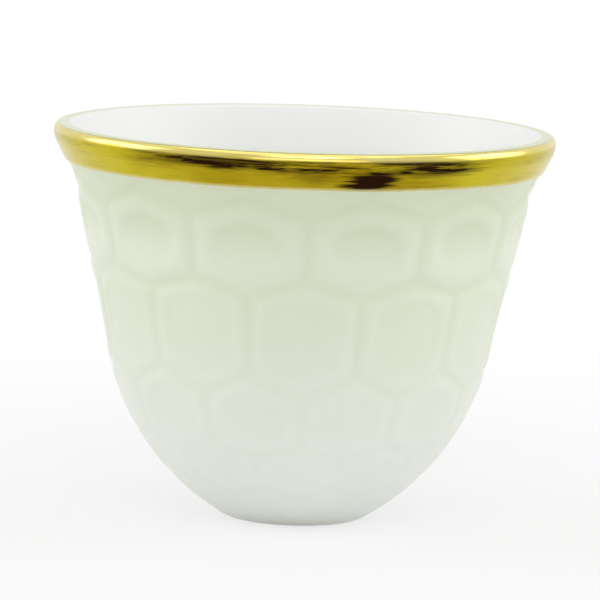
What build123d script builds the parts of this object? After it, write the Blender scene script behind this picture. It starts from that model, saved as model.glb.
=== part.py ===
from build123d import *
import os
from math import cos, radians, sin, tan

os.makedirs("parts", exist_ok=True)

# Finished cup, in millimetres and degrees
cup_height = 50.0
rim_diameter = 63.6
rim_side = 1.75
flare_reach = 2.6
flare_drop = 5.2
foot_diameter = 17.7
wall_thickness = 2.6
floor_height = 4.8

# The belly's corner, as shares of the rim's diameter and of the cup's height
belly_across = 0.678
belly_up = 0.158

# Rounding at the corners of the turned section
heel_round = 3.0
flare_round = 8.0
rim_round = 3.0
lip_round = 0.9
inner_flare_round = 10.0

# The two largest roundings, as the share that each takes up of the side below it
belly_fullness = 0.9
bowl_fullness = 0.93

# Hollow inside the standing ring
foot_ring_width = 3.7
foot_recess_depth = 1.0
foot_recess_lean = 30.0

# Layers that the later firings add
glaze_thickness = 0.2
glaze_end_height = 0.12
gold_thickness = 0.1
gold_height = 4.65
gold_setback = 0.65

# Honeycomb relief: the zigzag lines from the rim down, as shares of the height below the gilt band
cells_around = 12
peak_shares = (0.974, 0.737, 0.476, 0.265, 0.137)
valley_shares = (0.908, 0.693, 0.408, 0.234, 0.104)
groove_width = 2.0
groove_depth = 0.4
groove_flank = 55.0
frame_width = 1.9
dish_depth = 0.35
dish_flank = 55.0

# How far a cutting shape runs past what it cuts, and past its neighbour
overrun = 0.5
cell_rise = 1.0
border_rise = 2.0
border_reach = 4.0
overlap_angle = 0.5

# How closely a height on the wall is found, as a share of the wall's line
closeness = 1e-9

gold_bottom_height = cup_height - gold_height
zigzag_peaks = [share * gold_bottom_height for share in peak_shares]
zigzag_valleys = [share * gold_bottom_height for share in valley_shares]
pitch = 360 / cells_around
row_count = len(zigzag_peaks) - 1


# Where two section lines cross, each given by two of its points
def crossing(a, b, c, d):
    along = b - a
    other = d - c
    gap = c - a
    share = (gap.X * other.Z - gap.Z * other.X) / (along.X * other.Z - along.Z * other.X)
    return a + along * share


# A section line moved to its left, which is into the porcelain
def moved(start, end, distance):
    along = (end - start).normalized()
    shift = Vector(-along.Z, 0, along.X) * distance
    return start + shift, end + shift


foot = Vector(foot_diameter / 2, 0, 0)
belly = Vector(belly_across * rim_diameter / 2, 0, belly_up * cup_height)
rim_top = Vector(rim_diameter / 2, 0, cup_height)
rim = rim_top - Vector(0, 0, rim_side)
shoulder = rim - Vector(flare_reach, 0, flare_drop)
axis_foot = Vector(0, 0, 0)
axis_floor = Vector(0, 0, floor_height)
axis_top = Vector(0, 0, cup_height)
inner_wall = moved(belly, shoulder, wall_thickness)
inner_flare = moved(shoulder, rim, wall_thickness)
inner_top = crossing(*inner_flare, axis_top, rim_top)
inner_shoulder = crossing(*inner_flare, *inner_wall)
inner_bowl = crossing(*inner_wall, axis_floor, axis_floor + Vector(1, 0, 0))



# The radius of a rounding that takes up a share of the side that runs into its corner
def fitting_round(share, before, corner, after):
    turn = (corner - before).get_angle(after - corner)
    return share * (corner - before).length / tan(radians(turn / 2))


belly_round = fitting_round(belly_fullness, foot, belly, shoulder)
bowl_round = fitting_round(bowl_fullness, axis_floor, inner_bowl, inner_shoulder)

outside = [axis_foot, foot, belly, shoulder, rim, rim_top]
outside_rounds = [0, heel_round, belly_round, flare_round, rim_round, lip_round]
inside = [inner_top, inner_shoulder, inner_bowl, axis_floor]
inside_rounds = [lip_round, inner_flare_round, bowl_round, 0]


# Outline of a section at a depth below the finished surface; its base and its axis stay in place
def outline(corners, rounds, depth):
    count = len(corners)
    sides = []
    for i in range(count):
        still = i in (0, count - 1)
        sides.append(moved(corners[i], corners[(i + 1) % count], 0 if still else depth))
    points = []
    radii = []
    for i in range(count):
        points.append(crossing(*sides[i - 1], *sides[i]))
        before = corners[i] - corners[i - 1]
        after = corners[(i + 1) % count] - corners[i]
        hollow = before.X * after.Z - before.Z * after.X < 0
        radii.append(rounds[i] and rounds[i] + (depth if hollow else -depth))
    return FilletPolyline(*points, radius=radii, close=True)


# The cup as it is turned, and the same without its hollow inside
def turned_cup(depth):
    return revolve(Face(outline(outside + inside, outside_rounds + inside_rounds, depth)), Axis.Z)


def turned_block(depth):
    return revolve(Face(outline(outside + [axis_top], outside_rounds + [0], depth)), Axis.Z)


wall_line = FilletPolyline(*outside, radius=outside_rounds[1:-1])


# A point on the finished outer wall and the direction straight out of it there
def wall_place(angle, height):
    low, high = 0.0, 1.0
    while high - low > closeness:
        middle = (low + high) / 2
        if wall_line.position_at(middle).Z < height:
            low = middle
        else:
            high = middle
    along = wall_line.tangent_at(low)
    outward = Vector(along.Z, 0, -along.X)
    return wall_line.position_at(low).rotate(Axis.Z, angle), outward.rotate(Axis.Z, angle)


# A frame on the wall, looking straight out of it with its second direction up the wall
def wall_frame(angle, height):
    point, outward = wall_place(angle, height)
    across = Vector(0, 1, 0).rotate(Axis.Z, angle)
    return Plane(origin=point, x_dir=across, z_dir=outward)


top_cell_radius = wall_place(0, (zigzag_peaks[0] + zigzag_valleys[1]) / 2)[0].X


# A width of the top row, made smaller with the cells below it
def row_width(width, frame):
    return width * Vector(frame.origin.X, frame.origin.Y).length / top_cell_radius


# A flat side along one groove line, set back from it towards a place beside it
def flank(start, end, towards, setback, lean):
    line = wall_place(*end)[0] - wall_place(*start)[0]
    point, outward = wall_place((start[0] + end[0]) / 2, (start[1] + end[1]) / 2)
    inward = line.cross(outward).normalized()
    if inward.dot(towards - point) < 0:
        inward = inward * -1
    facing = outward * sin(radians(lean)) - inward * cos(radians(lean))
    return point + inward * setback, facing


# The block inside flat sides that go round it, between two levels along its frame's axis
def block(frame, sides, low, high):
    rings = []
    for level in (low, high):
        base = frame.origin + frame.z_dir * level
        ring = []
        for (point, facing), (next_point, next_facing) in zip(sides, sides[1:] + sides[:1]):
            a, b = facing.dot(frame.x_dir), facing.dot(frame.y_dir)
            c, d = next_facing.dot(frame.x_dir), next_facing.dot(frame.y_dir)
            reach = facing.dot(point - base)
            next_reach = next_facing.dot(next_point - base)
            across = (reach * d - next_reach * b) / (a * d - b * c)
            up = (a * next_reach - c * reach) / (a * d - b * c)
            ring.append(base + frame.x_dir * across + frame.y_dir * up)
        rings.append(ring)
    faces = [Face(Wire.make_polygon(ring)) for ring in rings]
    for i in range(len(sides)):
        corners = [rings[0][i - 1], rings[0][i], rings[1][i], rings[1][i - 1]]
        faces.append(Face(Wire.make_polygon(corners)))
    return Solid(Shell(faces))


# One cell's block: a raised pad leans in as it rises, a dish leans in as it sinks
def cell_block(row, setback, lean, depth):
    middle = (row + 1) % 2 * pitch / 2
    left, right = middle - pitch / 2, middle + pitch / 2
    corners = [
        (middle, zigzag_peaks[row]),
        (left, zigzag_valleys[row]),
        (left, zigzag_peaks[row + 1]),
        (middle, zigzag_valleys[row + 1]),
        (right, zigzag_peaks[row + 1]),
        (right, zigzag_valleys[row]),
    ]
    frame = wall_frame(middle, (zigzag_peaks[row] + zigzag_valleys[row + 1]) / 2)
    sides = []
    for start, end in zip(corners, corners[1:] + corners[:1]):
        sides.append(flank(start, end, frame.origin, row_width(setback, frame), lean))
    lowest = min(frame.to_local_coords(point).Z for point, facing in sides)
    return block(frame, sides, lowest - depth - overrun, cell_rise)


relief_top = zigzag_peaks[0] + groove_width
relief_bottom = zigzag_valleys[-1] - groove_width


# The plain wall beyond the first or last zigzag line, where a tip of it points into the relief
def border_block(angle, tip_height, base_height, end_height):
    frame = wall_frame(angle, tip_height)
    tip = (angle, tip_height)
    left = (angle - pitch / 2, base_height)
    right = (angle + pitch / 2, base_height)
    end, end_outward = wall_place(angle, end_height)
    away = end_outward.cross(frame.x_dir) * (1 if end_height > tip_height else -1)
    setback = row_width(groove_width / 2, frame)
    turn = pitch / 2 + overlap_angle
    sides = [
        flank(left, tip, end, setback, groove_flank),
        flank(tip, right, end, setback, groove_flank),
        (Vector(), Vector(0, 1, 0).rotate(Axis.Z, angle + turn)),
        (end + away * border_reach, away),
        (Vector(), Vector(0, -1, 0).rotate(Axis.Z, angle - turn)),
    ]
    lowest = min(frame.to_local_coords(wall_place(*place)[0]).Z for place in (left, right))
    return block(frame, sides, lowest - groove_depth - overrun, border_rise)


# Copies of the shapes of one column, all round the cup
def all_round(shapes):
    return [place * shape for place in PolarLocations(0, cells_around) for shape in shapes]


# A round block about the axis, between two heights
def slab(radius, low, high):
    return Pos(0, 0, low) * Cylinder(radius, high - low, align=(Align.CENTER, Align.CENTER, Align.MIN))


relief_slab = slab(rim_diameter, relief_bottom, relief_top)

# The grooves are what the cells and the plain wall beyond them leave of a ring in the wall
low_tip = pitch / 2 * ((row_count + 1) % 2)
standing = [
    border_block(0, zigzag_valleys[0], zigzag_peaks[0], relief_top),
    border_block(low_tip, zigzag_peaks[-1], zigzag_valleys[-1], relief_bottom),
]
dish_floor = turned_block(dish_depth)
dishes = []
for row in range(row_count):
    standing.append(cell_block(row, groove_width / 2, groove_flank, groove_depth))
    dish = cell_block(row, groove_width / 2 + frame_width, -dish_flank, dish_depth)
    dishes.append(dish - dish_floor)
groove_ring = (turned_block(-overrun) & relief_slab) - turned_block(groove_depth)
grooves = groove_ring - all_round(standing)
finished_cup = turned_cup(0) - grooves - all_round(dishes)

# The clay has a plain sunk band where the relief lies, and the glaze is all that covers the clay
clay_band = relief_slab - turned_block(groove_depth + glaze_thickness)
clay_blank = turned_cup(glaze_thickness) - clay_band
glaze_coat = finished_cup - slab(rim_diameter, 0, glaze_end_height) - clay_blank


# The hollow inside the standing ring, or a slice of it
def foot_hollow(bottom, top):
    run = tan(radians(foot_recess_lean))
    mouth = foot_diameter / 2 - foot_ring_width
    section = Polyline(
        (0, 0, bottom),
        (mouth - bottom * run, 0, bottom),
        (mouth - top * run, 0, top),
        (0, 0, top),
        close=True,
    )
    return revolve(Face(section), Axis.Z)


porcelain_body = clay_blank - foot_hollow(0, foot_recess_depth)
base_glaze = foot_hollow(foot_recess_depth - glaze_thickness, foot_recess_depth)

# The gilt band keeps clear of the crest of the lip and of the inside
wall_middle = wall_place(0, gold_bottom_height)[0].X - wall_thickness / 2
clear_section = Polyline(
    (0, 0, gold_bottom_height),
    (wall_middle, 0, gold_bottom_height),
    (rim_diameter / 2 - wall_thickness / 2, 0, cup_height - lip_round),
    (rim_diameter / 2 - gold_setback, 0, cup_height + overrun),
    (0, 0, cup_height + overrun),
    close=True,
)
clear_of_gold = slab(rim_diameter, 0, gold_bottom_height) + revolve(Face(clear_section), Axis.Z)
gold_rim_band = turned_cup(-gold_thickness) - clear_of_gold - turned_cup(0)

export_step(porcelain_body, "parts/porcelain_body.step")
export_step(glaze_coat, "parts/glaze_coat.step")
export_step(base_glaze, "parts/base_glaze.step")
export_step(gold_rim_band, "parts/gold_rim_band.step")
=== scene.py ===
import math

import bpy
import numpy as np
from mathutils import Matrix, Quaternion, Vector, noise


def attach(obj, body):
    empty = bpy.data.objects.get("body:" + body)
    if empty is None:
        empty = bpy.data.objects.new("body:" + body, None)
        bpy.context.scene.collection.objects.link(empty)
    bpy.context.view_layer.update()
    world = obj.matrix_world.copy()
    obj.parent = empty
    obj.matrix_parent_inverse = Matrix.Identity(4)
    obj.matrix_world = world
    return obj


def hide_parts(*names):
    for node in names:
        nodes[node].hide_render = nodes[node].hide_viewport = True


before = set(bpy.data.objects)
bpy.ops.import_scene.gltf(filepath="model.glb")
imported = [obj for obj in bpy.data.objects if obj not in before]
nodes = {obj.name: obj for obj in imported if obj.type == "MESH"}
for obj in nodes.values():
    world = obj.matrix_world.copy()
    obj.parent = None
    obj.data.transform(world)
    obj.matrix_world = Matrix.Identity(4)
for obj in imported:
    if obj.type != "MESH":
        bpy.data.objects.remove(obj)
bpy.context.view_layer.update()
scene = bpy.context.scene
mm = 0.001
print("frame loaded:", ", ".join(sorted(nodes)))


# one socket in a shader tree, so that maths on it reads as plain sums
class Wire:
    def __init__(self, tree, node, socket):
        self.tree = tree
        self.node = node
        self.socket = socket

    def math(self, operation, *values):
        return self.tree.add("ShaderNodeMath", {"operation": operation}, values)

    def __add__(self, other): return self.math("ADD", self, other)
    def __radd__(self, other): return self.math("ADD", other, self)
    def __sub__(self, other): return self.math("SUBTRACT", self, other)
    def __rsub__(self, other): return self.math("SUBTRACT", other, self)
    def __mul__(self, other): return self.math("MULTIPLY", self, other)
    def __rmul__(self, other): return self.math("MULTIPLY", other, self)

    def clip(self):
        made = self.math("ADD", self, 0.0)
        made.node.use_clamp = True
        return made

    # 0 below low, 1 above high, a smooth step between
    def rise(self, low, high):
        return self.tree.add("ShaderNodeMapRange", {"interpolation_type": "SMOOTHSTEP"},
                             Value=self, From_Min=low, From_Max=high)

    # up between the first two values, down again between the last two
    def within(self, low, full, fades, gone):
        return self.rise(low, full) * (1 - self.rise(fades, gone))

    def out(self, name):
        return Wire(self.tree, self.node, self.node.outputs[name])


# a material's or the world's node tree
class Finish:
    def __init__(self, owner):
        owner.use_nodes = True
        self.owner = owner
        self.nodes = owner.node_tree.nodes
        self.links = owner.node_tree.links
        self.nodes.clear()

    def put(self, socket, value):
        if isinstance(value, Wire):
            self.links.new(value.socket, socket)
        elif socket.type == "RGBA" and len(value) == 3:
            socket.default_value = (*value, 1.0)
        else:
            socket.default_value = value

    # a node of any type: its settings first, then its sockets by number and by name
    def add(self, kind, settings=None, slots=(), **values):
        node = self.nodes.new(kind)
        for name, value in (settings or {}).items():
            setattr(node, name, value)
        for number, value in enumerate(slots):
            self.put(node.inputs[number], value)
        for name, value in values.items():
            self.put(node.inputs[name.replace("_", " ")], value)
        return Wire(self, node, next((o for o in node.outputs if o.enabled), None))

    # a mix of two colours by a factor
    def blend(self, factor, first, second):
        made = self.add("ShaderNodeMix", {"data_type": "RGBA"}, [factor])
        colourIn = [s for s in made.node.inputs if s.type == "RGBA"]
        self.put(colourIn[0], first)
        self.put(colourIn[1], second)
        made.socket = next(o for o in made.node.outputs if o.type == "RGBA")
        return made

    def where(self):
        return self.add("ShaderNodeTexCoord").out("Object")

    # the place along one axis, in mm
    def along(self, axis):
        return self.add("ShaderNodeSeparateXYZ", Vector=self.where()).out(axis) * (1 / mm)

    # noise on object coordinates, stretched along each axis
    def grain(self, stretch, scale, detail, roughness=0.5):
        place = self.add("ShaderNodeMapping", Vector=self.where(), Scale=stretch)
        return self.add("ShaderNodeTexNoise", Vector=place, Scale=scale, Detail=detail, Roughness=roughness)

    def painted(self, name):
        return self.add("ShaderNodeAttribute", {"attribute_name": name}).out("Fac")

    def surface(self, shader):
        self.add("ShaderNodeOutputMaterial", Surface=shader)
        return self.owner


def newFinish(name):
    return Finish(bpy.data.materials.new(name))


def dress(piece, finish):
    piece.data.materials.clear()
    piece.data.materials.append(finish)


# the cup's turned section in mm, the same sizes as the solids
cupShape = {
    "height": 50.0, "rim": 63.6, "rimSide": 1.75, "flareReach": 2.6, "flareDrop": 5.2,
    "foot": 17.7, "wall": 2.6, "floor": 4.8, "bellyAcross": 0.678, "bellyUp": 0.158,
    "heelRound": 3.0, "flareRound": 8.0, "rimRound": 3.0, "lipRound": 0.9, "innerFlareRound": 10.0,
    "bellyFullness": 0.9, "bowlFullness": 0.93,      # share of the side below that the rounding takes up
    "goldHeight": 4.65, "goldSetback": 0.65, "goldThickness": 0.1,
    "glazeThickness": 0.2, "glazeEnd": 0.12, "glazeTuck": 0.12,      # its end's height, and how far it tucks in
    "steps": 456,             # columns all round, 38 to a cell
    "insideRow": 2.4, "lipRow": 0.22, "rimRow": 0.4, "wallRow": 0.43, "footRow": 1.0,      # row spacings
}


def crossing(a, b, c, d):
    along, other, gap = b - a, d - c, c - a
    share = (gap.x * other.y - gap.y * other.x) / (along.x * other.y - along.y * other.x)
    return a + along * share


def shifted(a, b, distance):
    along = (b - a).normalized()
    side = Vector((-along.y, along.x)) * distance
    return a + side, b + side


# points along a line with rounded corners, about a spacing apart on each run and arc
def roundedLine(corners, rounds, spacings):
    arcs = []
    for i in range(1, len(corners) - 1):
        before = (corners[i - 1] - corners[i]).normalized()
        after = (corners[i + 1] - corners[i]).normalized()
        half = before.angle(after) / 2
        reach = rounds[i] / math.tan(half)
        centre = corners[i] + (before + after).normalized() * rounds[i] / math.sin(half)
        arcs.append((corners[i] + before * reach, corners[i] + after * reach, centre))
    points = [corners[0]]
    for i, arc in enumerate(arcs + [None]):
        start = points[-1]
        end = arc[0] if arc else corners[-1]
        count = max(1, round((end - start).length / spacings[i]))
        points += [start.lerp(end, k / count) for k in range(1, count + 1)]
        if arc:
            first, last, centre = arc
            spoke = first - centre
            turn = spoke.angle_signed(last - centre)
            sweep = abs(turn) * spoke.length
            count = round(sweep / min(spacings[i], spacings[i + 1], sweep / 5))      # five steps at least
            for k in range(1, count + 1):
                part = turn * k / count
                points.append(centre + Vector((spoke.x * math.cos(part) + spoke.y * math.sin(part),
                                               spoke.y * math.cos(part) - spoke.x * math.sin(part))))
    return points


def fittingRound(share, before, corner, after):
    turn = (corner - before).angle(after - corner)
    return share * (corner - before).length / math.tan(turn / 2)


# from the middle of the inside floor, up and over the lip, and down to the middle of the foot
def cupLine(s):
    rimTop = Vector((s["rim"] / 2, s["height"]))
    rim = rimTop - Vector((0, s["rimSide"]))
    shoulder = rim - Vector((s["flareReach"], s["flareDrop"]))
    belly = Vector((s["bellyAcross"] * s["rim"] / 2, s["bellyUp"] * s["height"]))
    foot = Vector((s["foot"] / 2, 0))
    floor = Vector((0, s["floor"]))
    innerWall = shifted(belly, shoulder, s["wall"])
    innerFlare = shifted(shoulder, rim, s["wall"])
    innerTop = crossing(*innerFlare, Vector((0, s["height"])), rimTop)
    innerShoulder = crossing(*innerFlare, *innerWall)
    innerBowl = crossing(*innerWall, floor, floor + Vector((1, 0)))
    corners = [floor, innerBowl, innerShoulder, innerTop, rimTop, rim, shoulder, belly, foot, Vector((0, 0))]
    bowlRound = fittingRound(s["bowlFullness"], floor, innerBowl, innerShoulder)
    bellyRound = fittingRound(s["bellyFullness"], foot, belly, shoulder)
    rounds = [0, bowlRound, s["innerFlareRound"], s["lipRound"], s["lipRound"], s["rimRound"],
              s["flareRound"], bellyRound, s["heelRound"], 0]
    spacings = [s["insideRow"]] * 3 + [s["lipRow"]] * 2 + [s["rimRow"]] + [s["wallRow"]] * 2 + [s["footRow"]]
    return roundedLine(corners, rounds, spacings)


# the direction straight out of the line at each point, which runs clockwise
def outwardAt(line):
    found = []
    for i in range(len(line)):
        along = (line[min(i + 1, len(line) - 1)] - line[max(i - 1, 0)]).normalized()
        found.append(Vector((-along.y, along.x)))
    return found


skinLine = cupLine(cupShape)
# the crest is the outermost of the highest points
crest = max(range(len(skinLine)), key=lambda i: skinLine[i].y + skinLine[i].x * 1e-6)
lowEnd = next(i for i in range(crest, len(skinLine)) if skinLine[i].y < cupShape["glazeEnd"])
skinLine = skinLine[:lowEnd]                       # the glaze ends just above the standing face
skinLine.append(Vector((skinLine[-1].x - cupShape["glazeTuck"], cupShape["glazeEnd"])))
skinOut = outwardAt(skinLine)
bandBottom = cupShape["height"] - cupShape["goldHeight"]

# the outside wall from the foot up: height, radius, outward direction, and length up the wall
outerRows = range(crest, len(skinLine))
wallZ = np.array([skinLine[i].y for i in outerRows])[::-1]
wallR = np.array([skinLine[i].x for i in outerRows])[::-1]
wallNr = np.array([skinOut[i].x for i in outerRows])[::-1]
wallNz = np.array([skinOut[i].y for i in outerRows])[::-1]
wallS = np.concatenate([[0], np.cumsum(np.hypot(np.diff(wallR), np.diff(wallZ)))])
print("section:", len(skinLine), "rows, crest at row", crest)


def pickNone():
    bpy.ops.object.select_all(action="DESELECT")


# draws a line in the x-z plane by extruding one vertex along it, then spins it round the axis
def spunPiece(name, line, steps):
    pickNone()
    points = [Vector((p.x, 0, p.y)) * mm for p in line]
    bpy.ops.mesh.primitive_plane_add(size=mm, location=points[0])
    piece = bpy.context.object
    piece.name = piece.data.name = name
    bpy.ops.object.transform_apply(location=True, rotation=True, scale=True)
    bpy.ops.object.mode_set(mode="EDIT")
    bpy.ops.mesh.select_all(action="SELECT")
    bpy.ops.mesh.merge(type="CENTER")
    for a, b in zip(points, points[1:]):
        bpy.ops.mesh.extrude_region_move(TRANSFORM_OT_translate={"value": b - a})
    if abs(line[0].x) > 1e-6:                       # a ring's section closes on itself
        bpy.ops.mesh.select_all(action="DESELECT")
        bpy.ops.object.mode_set(mode="OBJECT")
        piece.data.vertices[0].select = True
        piece.data.vertices[len(points) - 1].select = True
        bpy.ops.object.mode_set(mode="EDIT")
        bpy.ops.mesh.edge_face_add()
    bpy.ops.mesh.select_all(action="SELECT")
    bpy.ops.mesh.spin(steps=steps, angle=math.tau, center=(0, 0, 0), axis=(0, 0, 1))
    bpy.ops.mesh.select_all(action="SELECT")
    bpy.ops.mesh.remove_doubles(threshold=2e-6)
    bpy.ops.mesh.normals_make_consistent(inside=False)
    bpy.ops.object.mode_set(mode="OBJECT")
    bpy.ops.object.shade_smooth()
    return piece


# vertex places, in mm
def readPlaces(piece):
    places = np.empty(len(piece.data.vertices) * 3)
    piece.data.vertices.foreach_get("co", places)
    return places.reshape(-1, 3) / mm


def writePlaces(piece, places):
    piece.data.vertices.foreach_set("co", (places * mm).ravel())
    piece.data.update()


def writeValue(piece, name, values):
    layer = piece.data.attributes.new(name, "FLOAT", "POINT")
    layer.data.foreach_set("value", np.asarray(values, dtype=np.float32))


def smooth(values, low, high):
    t = np.clip((values - low) / (high - low), 0, 1)
    return t * t * (3 - 2 * t)


# the glaze: one skin over the lip, inside and outside, with the honeycomb pressed in
honeycomb = {
    "cellsAround": 12,
    "peakShares": (0.966, 0.737, 0.476, 0.265, 0.137),      # of the height below the gilt band
    "valleyShares": (0.908, 0.693, 0.408, 0.234, 0.104),
    "top": 46.5,                                             # no relief above this height
    "fullSizeAt": 37.0, "leastSize": 0.35,                   # below this height widths shrink with the radius
    "grooveDepth": 0.36, "grooveHalf": 0.95,
    "fadeBetween": (8, 32), "fadeTo": 0.4,                   # the grooves get shallower towards the foot
    # each row's dish from the top down: where it starts and gets flat, away from the groove, its depth and the
    # strength of the painted shade in it
    "dishStarts": (1.8, 1.4, 1.4, 1.4), "dishEnds": (3.7, 2.8, 2.8, 2.8),
    "dishDepths": (0.58, 0.26, 0.2, 0.12), "dishShadeStrengths": (1.1, 0.2, 0.12, 0.05),
    "lowDish": 0.4, "dishDeepens": (0.15, 0.75),             # the lower end's share of it, and where it grows
    "shadeGrows": (0.3, 0.8),                                 # the same for the top row's painted shade, which is darkest high in the cell
    "softness": 1.8,                                         # a lower softness rounds the dish's corners more
    # the border above the cells, sunk behind a thin ridge, and the heights where it comes in and goes out
    "borderDepth": 0.2, "borderStart": 0.9, "borderEnd": 1.5, "borderHeights": (38, 40, 45.0, 45.3),
    "onWall": 0.03,                                          # how near the wall's line a vertex belongs to it
    "insideStarts": (0.6, 1.6),                              # the inside's colour, this far in from the outer wall
}

# the side of the skin that lies on the clay, which nobody sees
claySide = {
    "rowStep": 12,
    "reliefDepth": 0.4, "reliefFrom": 3.0, "reliefTo": 46.0,      # it is lower under the honeycomb
    "footWidth": 0.3,
}


# how far each place on the wall is from the grooves in mm, on a wall rolled flat: to the nearest, and with
# the corners rounded; the row that it is in, -1 outside the honeycomb; and its share of the cell's height
def grooveDistance(angles, heights, cells):
    pitch = math.tau / cells["cellsAround"]
    fold = np.abs((angles + pitch / 2) % pitch - pitch / 2)
    radius = np.interp(heights, wallZ, wallR)
    up = np.interp(heights, wallZ, wallS)
    peaks = [np.interp(v * bandBottom, wallZ, wallS) for v in cells["peakShares"]]
    valleys = [np.interp(v * bandBottom, wallZ, wallS) for v in cells["valleyShares"]]
    lines = []
    rows = np.full(len(angles), -1)
    for i in range(len(peaks)):
        peakAt, valleyAt = (pitch / 2, 0) if i % 2 == 0 else (0, pitch / 2)
        lines.append((peakAt, peaks[i], valleyAt, valleys[i]))
        if i + 1 < len(peaks):
            lines.append((valleyAt, valleys[i], valleyAt, peaks[i + 1]))
        share = np.abs(fold - valleyAt) / (pitch / 2)
        rows[up < valleys[i] + (peaks[i] - valleys[i]) * share] = i
    rows[rows == len(peaks) - 1] = -1
    nearest = np.full(len(angles), np.inf)
    total = np.zeros(len(angles))
    for t0, s0, t1, s1 in lines:
        images = [(1, 0)]                                     # the line, and its mirror images beside it
        if max(t0, t1) > 0:
            images.append((-1, 0))
        if min(t0, t1) < pitch / 2:
            images.append((-1, pitch))
        for sign, turn in images:
            x0, y0 = (turn + sign * t0 - fold) * radius, s0 - up
            x1, y1 = (turn + sign * t1 - fold) * radius, s1 - up
            dx, dy = x1 - x0, y1 - y0
            share = np.clip(-(x0 * dx + y0 * dy) / np.maximum(dx * dx + dy * dy, 1e-9), 0, 1)
            away = np.hypot(x0 + share * dx, y0 + share * dy)
            nearest = np.minimum(nearest, away)
            total += np.exp(-cells["softness"] * away)
    rounded = -np.log(np.maximum(total, 1e-12)) / cells["softness"]
    tops, lows = np.array(peaks[:-1] + [1.0]), np.array(valleys[1:] + [0.0])      # the last pair is for row -1
    share = np.clip((up - lows[rows]) / (tops[rows] - lows[rows]), 0, 1)
    return nearest, rounded, rows, share


# every row in the hollow of the bowl, where longer steps would cut across it, and few elsewhere
def clayLine(line, outward):
    last, step, thin = len(line) - 1, claySide["rowStep"], cupShape["glazeThickness"]
    hidden = []
    for i in range(last, -1, -1):
        if i < crest - step or i == last or i % step == 0:
            underRelief = i > crest and claySide["reliefFrom"] < line[i].y < claySide["reliefTo"]
            depth = thin + claySide["reliefDepth"] if underRelief else thin
            hidden.append(line[i] - outward[i] * depth)
    hidden[0] = Vector((line[-1].x - claySide["footWidth"], line[-1].y))
    hidden[-1] = Vector((0, line[0].y - thin))
    return hidden


def pressHoneycomb(skin, cells):
    places = readPlaces(skin)
    height = places[:, 2].copy()
    radii = np.hypot(places[:, 0], places[:, 1])
    angles = np.arctan2(places[:, 1], places[:, 0])
    wallRadius = np.interp(height, wallZ, wallR)
    onWall = (np.abs(radii - wallRadius) < cells["onWall"]) & (height < cells["top"])
    away, softAway, cellRow, cellShare = grooveDistance(angles, height, cells)
    size = np.clip(wallRadius / np.interp(cells["fullSizeAt"], wallZ, wallR), cells["leastSize"], 1)

    groove = np.exp(-((away / (cells["grooveHalf"] * size)) ** 2))
    groove *= cells["fadeTo"] + (1 - cells["fadeTo"]) * smooth(height, *cells["fadeBetween"])

    start, end, depth, shadeStrength = [np.array(cells[key])[np.maximum(cellRow, 0)]
                               for key in ("dishStarts", "dishEnds", "dishDepths", "dishShadeStrengths")]
    dish = smooth(softAway / size, start, end) * (cellRow >= 0)
    depth = depth * (cells["lowDish"] + (1 - cells["lowDish"]) * smooth(cellShare, *cells["dishDeepens"]))
    # the top row's painted shade, strongest high in the cell
    shadeStrength = np.where(cellRow == 0, shadeStrength * smooth(cellShare, *cells["shadeGrows"]), shadeStrength)

    low, full, fades, gone = cells["borderHeights"]
    border = smooth(away, cells["borderStart"], cells["borderEnd"]) * (cellRow < 0)
    border *= smooth(height, low, full) * (1 - smooth(height, fades, gone))

    sink = cells["grooveDepth"] * groove * np.sqrt(size) + depth * dish + cells["borderDepth"] * border
    sink *= onWall
    across = sink * np.interp(height, wallZ, wallNr)
    places[:, 0] -= across * np.cos(angles)
    places[:, 1] -= across * np.sin(angles)
    places[:, 2] -= sink * np.interp(height, wallZ, wallNz)
    writePlaces(skin, places)
    writeValue(skin, "pooledAndShaded", groove * onWall)
    # painted shade in the dishes
    writeValue(skin, "dishShade", dish * shadeStrength * onWall)
    writeValue(skin, "inner", smooth(np.interp(places[:, 2], wallZ, wallR) - radii, *cells["insideStarts"]))


glazeSkin = spunPiece("glaze_skin", skinLine + clayLine(skinLine, skinOut), cupShape["steps"])
pressHoneycomb(glazeSkin, honeycomb)
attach(glazeSkin, "root")
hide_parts("glaze_coat")
print("glaze skin:", len(glazeSkin.data.polygons), "faces")


# the gilt band, brushed on by hand over the glaze
giltBand = {
    "wander": 0.12, "wanderUp": 1.2,                 # how far the brush strays at the lower edge, and how far up
    "waves": ((4, 0.3, 0.6), (17, 2.1, 0.4)),        # the straying's fineness, seed and share
    "feather": 0.5, "thinEdge": 0.25,                # over this much it thins out to its edges, to this share
    "sunk": 0.03,                                    # its back lies this deep in the glaze
    "overLip": 0.5,                                  # the setback counts this near the top of the lip
    "paleEdge": (0.05, 0.4),
}


def bandLine(band):
    top = cupShape["rim"] / 2 - cupShape["goldSetback"]
    lip = cupShape["height"] - band["overLip"]
    rows = [i for i in outerRows
            if skinLine[i].y >= bandBottom and (skinLine[i].x > top or skinLine[i].y < lip)]
    last, below = skinLine[rows[-1]], skinLine[rows[-1] + 1]
    low = last.lerp(below, (last.y - bandBottom) / (last.y - below.y))
    line = [skinLine[i] for i in rows] + [last.lerp(low, 0.5), low]
    out = [skinOut[i] for i in rows] + [skinOut[rows[-1]]] * 2
    outer, inner = [], []
    for point, straight in zip(line, out):
        edge = min((point - line[0]).length, (point - line[-1]).length)
        share = min(1.0, band["thinEdge"] + (1 - band["thinEdge"]) * edge / band["feather"])
        outer.append(point + straight * cupShape["goldThickness"] * share)
        inner.append(point - straight * band["sunk"])
    back = inner[::-1]
    return outer + back[:1] + back[1:-1:3] + back[-1:]          # fewer rows on the back


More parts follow.
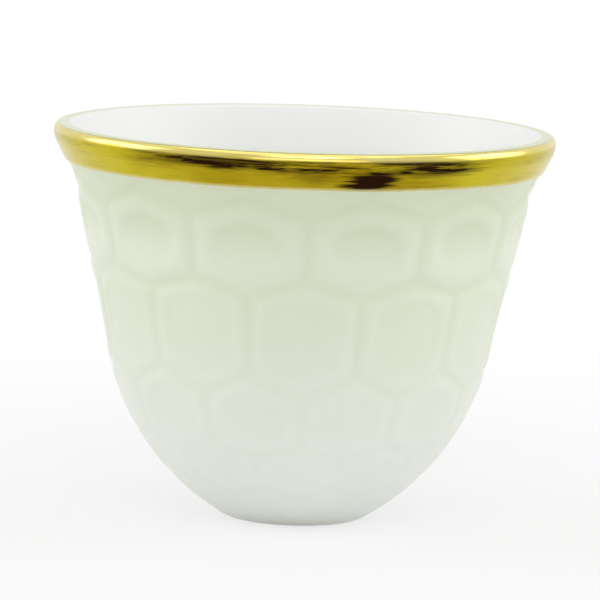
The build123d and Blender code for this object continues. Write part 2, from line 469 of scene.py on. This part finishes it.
def strayEdge(piece, band):
    places = readPlaces(piece)
    angles = np.arctan2(places[:, 1], places[:, 0])
    stray = np.array([sum(noise.noise(Vector((math.cos(a) * fine, math.sin(a) * fine, seed))) * share
                          for fine, seed, share in band["waves"]) for a in angles]) * band["wander"]
    places[:, 2] += stray * (1 - smooth(places[:, 2], bandBottom, bandBottom + band["wanderUp"]))
    writePlaces(piece, places)
    writeValue(piece, "edge", 1 - smooth(places[:, 2] - stray - bandBottom, *band["paleEdge"]))


goldBand = spunPiece("gold_band", bandLine(giltBand), cupShape["steps"])
strayEdge(goldBand, giltBand)
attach(goldBand, "root")
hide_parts("gold_rim_band")
print("gold band:", len(goldBand.data.polygons), "faces")


# heights in mm
glazeLook = {
    "body": (0.83, 0.89, 0.71),              # faintly green over the white clay
    "low": (0.94, 0.97, 0.92),               # lighter towards the foot: painted light from the floor's bounce
    # whiter inside: a whiter lining glaze, and painted light, the inside kept brighter than the shaded outside
    "inner": (0.95, 0.96, 0.935),
    # darker olive: pooled glaze in the grooves, and painted shade in the dishes, under the flare and at the foot
    "pooledAndShaded": (0.64, 0.70, 0.43),
    "bounceLightBetween": (5, 35), "bounceLight": 0.9, "clouds": 0.5, "cloudScale": 70.0,
    # a painted shadow under the flare, darker on the lip, and painted shade at the foot: between which heights,
    # and how much
    "flareShadowBetween": (36, 45.5), "flareShadow": 0.42, "lipBetween": (49.5, 49.9), "lipDarkening": 0.3,
    "footShadeBetween": (0.2, 2.2), "footShade": 0.06,
    "groovePooled": 0.14, "dishShadeMix": 0.3,
    "roughness": 0.34, "usedInside": 0.25,   # the inside is duller, from use
    "rippleScale": 220.0, "rippleRough": 0.08, "rippleBump": 0.03, "rippleDepth": 0.0004,
    "coat": 0.12, "coatRoughness": 0.15, "ior": 1.5,
}


def glazeFinish(name, look, onCup):
    f = newFinish(name)
    height = f.along("Z")
    clouds = f.grain((1, 1, 1), look["cloudScale"], 3.0)
    ripple = f.grain((1, 1, 1), look["rippleScale"], 2.0)
    # painted light: the glaze lighter towards the foot, where the floor's bounce lights the wall, over random
    # clouds
    bounceLight = (1 - height.rise(*look["bounceLightBetween"])) * look["bounceLight"] + (clouds - 0.5) * look["clouds"]
    colour = f.blend(bounceLight.clip(), look["body"], look["low"])
    rough = look["roughness"] + (ripple - 0.5) * look["rippleRough"]
    if onCup:
        # pooled glaze in the grooves, painted shade in the dishes, a painted shadow under the flare, a darker lip,
        # and painted shade at the foot
        poolingAndShade = f.painted("pooledAndShaded") * look["groovePooled"] + f.painted("dishShade") * look["dishShadeMix"]
        poolingAndShade = poolingAndShade + height.rise(*look["flareShadowBetween"]) * look["flareShadow"]
        poolingAndShade = poolingAndShade + height.rise(*look["lipBetween"]) * look["lipDarkening"]
        poolingAndShade = poolingAndShade + (1 - height.rise(*look["footShadeBetween"])) * look["footShade"]
        inner = f.painted("inner")
        colour = f.blend(poolingAndShade.clip(), colour, look["pooledAndShaded"])
        # the inside whiter, partly painted light
        colour = f.blend(inner, colour, look["inner"])
        rough = rough + inner * look["usedInside"]
    bump = f.add("ShaderNodeBump", Height=ripple, Strength=look["rippleBump"], Distance=look["rippleDepth"])
    shader = f.add("ShaderNodeBsdfPrincipled", Base_Color=colour, Roughness=rough, Normal=bump, IOR=look["ior"],
                   Coat_Weight=look["coat"], Coat_Roughness=look["coatRoughness"])
    return f.surface(shader)


goldLook = {
    "bright": (0.60, 0.50, 0.02),
    "olive": (0.34, 0.23, 0.005),
    "brown": (0.022, 0.008, 0.003),
    "wash": (0.80, 0.70, 0.30),              # where the gold thins out at its edges, and the painted highlight along the crest
    "streakGrain": (45, 45, 1100), "fineGrain": (160, 160, 2600), "mottleGrain": (90, 90, 200),
    "facing": (400, 880),                    # painted reflection, darker at the front and back: mm from the middle, squared
    "facingReflection": 0.7, "mottleDull": 1.4,
    # painted reflection of a dark horizon: dark streaks and flecks high in the band, mostly at the front and back
    "streaks": (0.36, 0.5), "reflectionHeights": (47.3, 48.2, 48.7, 49.2), "reflectionFront": 0.75, "reflectionSides": 0.1,
    "reflectionFlecks": (0.48, 0.56), "reflectionFleckHeights": (46.6, 48.2, 48.9, 49.5), "reflectionFleckFront": 0.5,
    "specks": (0.55, 0.7), "speckDark": 0.2,
    # dark patches: degrees round from the front, height, half width and half height in mm, strength; the three
    # near the front are a painted reflection of something dark, the rest are wear
    "patches": [(14.0, 46.5, 4.2, 1.5, 1.1), (28, 47.9, 5.5, 0.9, 0.5), (1, 47.3, 3.0, 1.3, 0.35),
                (96, 46.8, 4.0, 1.2, 0.6), (128, 47.3, 6.0, 1.3, 0.7), (190, 46.5, 5.0, 1.2, 0.9),
                (238, 47.4, 7.0, 1.2, 0.6), (268, 46.6, 4.0, 1.1, 0.5)],
    "patchRadius": 30.6, "patchEdge": (0.5, 1.25), "patchMottle": 1.2, "patchFine": 2.0,
    "edgePale": 0.8, "crestHighlightHeights": (48.8, 49.4), "crestHighlight": 1.1,
    "roughness": 0.12, "mottleRough": 0.1, "fineRough": 0.06, "edgeBare": 0.6,
    "streakBump": 0.12, "streakDepth": 0.0003,
}


def goldFinish(look):
    f = newFinish("fired_gold")
    height, across = f.along("Z"), f.along("Y")
    streaks = f.grain(look["streakGrain"], 1.0, 4.0, 0.6)
    fine = f.grain(look["fineGrain"], 1.0, 3.0, 0.6)
    mottle = f.grain(look["mottleGrain"], 1.0, 2.0)
    facing = (across * across).rise(*look["facing"])
    # a painted reflection darkens the gold towards the front and back, with random mottle
    reflectionAndMottle = facing * look["facingReflection"] + (mottle - 0.5) * look["mottleDull"]
    colour = f.blend(reflectionAndMottle.clip(), look["bright"], look["olive"])

    # painted reflection: dark streaks and flecks high in the band
    streakedReflection = streaks.rise(*look["streaks"]) * height.within(*look["reflectionHeights"])
    fleckedReflection = fine.rise(*look["reflectionFlecks"]) * height.within(*look["reflectionFleckHeights"])
    # worn gathers these painted reflections, the random specks, and the patches below
    worn = streakedReflection * (facing * look["reflectionFront"] + look["reflectionSides"])
    worn = worn + fleckedReflection * facing * look["reflectionFleckFront"] + fine.rise(*look["specks"]) * look["speckDark"]
    ragged = (mottle - 0.5) * look["patchMottle"] + (fine - 0.5) * look["patchFine"]
    # the patches near the front are a painted reflection, the others wear
    for turn, up, wide, tall, strength in look["patches"]:
        angle, radius = math.radians(turn), look["patchRadius"]
        spot = Vector((math.sin(angle) * radius, -math.cos(angle) * radius, up)) * mm
        apart = f.add("ShaderNodeVectorMath", {"operation": "SUBTRACT"}, [f.where(), spot])
        stretch = Vector((1 / wide, 1 / wide, 1 / tall)) / mm
        spread = f.add("ShaderNodeMapping", Vector=apart, Scale=stretch)
        far = f.add("ShaderNodeVectorMath", {"operation": "LENGTH"}, Vector=spread).out("Value")
        worn = worn + (1 - (far + ragged).rise(*look["patchEdge"])) * strength
    colour = f.blend(worn.clip(), colour, look["brown"])

    edge = f.painted("edge")
    # pale at the thin edges, with a painted highlight along the crest
    pale = edge * look["edgePale"] + height.rise(*look["crestHighlightHeights"]) * (fine * look["crestHighlight"])
    colour = f.blend(pale.clip(), colour, look["wash"])
    rough = look["roughness"] + mottle * look["mottleRough"] + fine * look["fineRough"]
    bump = f.add("ShaderNodeBump", Height=streaks, Strength=look["streakBump"], Distance=look["streakDepth"])
    shader = f.add("ShaderNodeBsdfPrincipled", Base_Color=colour, Roughness=rough,
                   Metallic=1 - edge * look["edgeBare"], Normal=bump)
    return f.surface(shader)


clayLook = {
    "pale": (0.84, 0.82, 0.76), "worn": (0.66, 0.62, 0.54),
    "speckScale": 900.0, "specks": (0.45, 0.75), "speckDark": 0.5,
    "rubScale": 160.0, "rubs": (0.4, 0.7), "rubDark": 0.4,
    "roughness": 0.75, "speckRough": 0.2, "speckBump": 0.2, "speckDepth": 0.0002,
}


def clayFinish(look):
    f = newFinish("bare_clay")
    specks = f.grain((1, 1, 1), look["speckScale"], 3.0, 0.6)
    rubs = f.grain((1, 1, 1), look["rubScale"], 2.0)
    dark = specks.rise(*look["specks"]) * look["speckDark"] + rubs.rise(*look["rubs"]) * look["rubDark"]
    bump = f.add("ShaderNodeBump", Height=specks, Strength=look["speckBump"], Distance=look["speckDepth"])
    shader = f.add("ShaderNodeBsdfPrincipled", Base_Color=f.blend(dark, look["pale"], look["worn"]),
                   Roughness=look["roughness"] + specks * look["speckRough"], Normal=bump)
    return f.surface(shader)


dress(glazeSkin, glazeFinish("cup_glaze", glazeLook, True))
dress(nodes["base_glaze"], glazeFinish("foot_glaze", glazeLook, False))
dress(goldBand, goldFinish(goldLook))
dress(nodes["porcelain_body"], clayFinish(clayLook))
print("finishes done")


# floor and light, in m and W
studio = {
    "floorSize": 6.0, "floorColour": (0.93, 0.93, 0.93),
    "floorGlow": 0.7,                 # how much of its own white the floor shows near the cup, over its shadow
    "whiteBetween": (0.03, 0.16),     # it gets all white between these distances
    "worldLight": 0.31,
    "lampsAim": (0, 0, 0.025),
    # name, place, width and height, power
    "lamps": [("top_softbox", (0.0, 0.05, 0.62), (0.7, 0.7), 1.25),
              ("front_softbox", (0.02, -0.45, 0.5), (0.35, 0.3), 0.62),
              ("low_softbox", (0.0, -0.75, 0.14), (0.7, 0.2), 0.72),
              ("left_softbox", (-0.55, 0.05, 0.25), (0.4, 0.4), 1.1),
              ("right_softbox", (0.55, 0.05, 0.25), (0.4, 0.4), 1.1)],
}


# white to the camera, in mirrors and through glass
def whiteTo(f):
    path = f.add("ShaderNodeLightPath")
    seen = path.math("MAXIMUM", path.out("Is Camera Ray"), path.out("Is Glossy Ray"))
    return path.math("MAXIMUM", seen, path.out("Is Transmission Ray"))


def addFloor():
    pickNone()
    bpy.ops.mesh.primitive_plane_add(size=studio["floorSize"], location=(0, 0, 0))
    floor = bpy.context.object
    floor.name = "floor"
    f = newFinish("floor_paper")
    far = f.add("ShaderNodeVectorMath", {"operation": "LENGTH"}, Vector=f.where()).out("Value")
    glowing = studio["floorGlow"] + far.rise(*studio["whiteBetween"]) * (1 - studio["floorGlow"])
    paper = f.add("ShaderNodeBsdfDiffuse", Color=studio["floorColour"])
    glow = f.add("ShaderNodeEmission", Color=(1, 1, 1), Strength=1.0)
    dress(floor, f.surface(f.add("ShaderNodeMixShader", None, [whiteTo(f) * glowing, paper, glow])))


def addWorld():
    scene.world = bpy.data.worlds.new("studio")
    f = Finish(scene.world)
    room = f.add("ShaderNodeBackground", Color=(1, 1, 1), Strength=studio["worldLight"])
    white = f.add("ShaderNodeBackground", Color=(1, 1, 1), Strength=1.0)
    f.add("ShaderNodeOutputWorld", Surface=f.add("ShaderNodeMixShader", None, [whiteTo(f), room, white]))


def addLamp(name, place, size, power):
    pickNone()
    bpy.ops.object.light_add(type="AREA", location=place)
    lamp = bpy.context.object
    lamp.name = name
    lamp.data.shape = "RECTANGLE"
    lamp.data.size, lamp.data.size_y = size
    lamp.data.energy = power
    lamp.rotation_mode = "QUATERNION"
    lamp.rotation_quaternion = (Vector(studio["lampsAim"]) - Vector(place)).to_track_quat("-Z", "Y")


# the photo's viewing angle: m, degrees, and mm for the lens and sensor
shot = {
    "distance": 0.562, "height": 0.10545, "swing": 1.5, "aim": (0.00006, 0.0, 0.02778), "roll": 1.9,
    "lens": 266.0, "sensor": 36.0, "clip": (0.01, 20.0),
}


def addCamera():
    data = bpy.data.cameras.new("photo_camera")
    camera = bpy.data.objects.new("photo_camera", data)
    scene.collection.objects.link(camera)
    swing = math.radians(shot["swing"])
    camera.location = (-shot["distance"] * math.sin(swing), -shot["distance"] * math.cos(swing), shot["height"])
    look = (Vector(shot["aim"]) - camera.location).to_track_quat("-Z", "Y")
    camera.rotation_mode = "QUATERNION"
    camera.rotation_quaternion = look @ Quaternion((0, 0, 1), math.radians(shot["roll"]))
    data.sensor_width = shot["sensor"]
    data.lens = shot["lens"]
    data.clip_start, data.clip_end = shot["clip"]
    scene.camera = camera


addFloor()
addWorld()
for lamp in studio["lamps"]:
    addLamp(*lamp)
addCamera()
scene.view_settings.view_transform = "Standard"
print("stage and camera done")
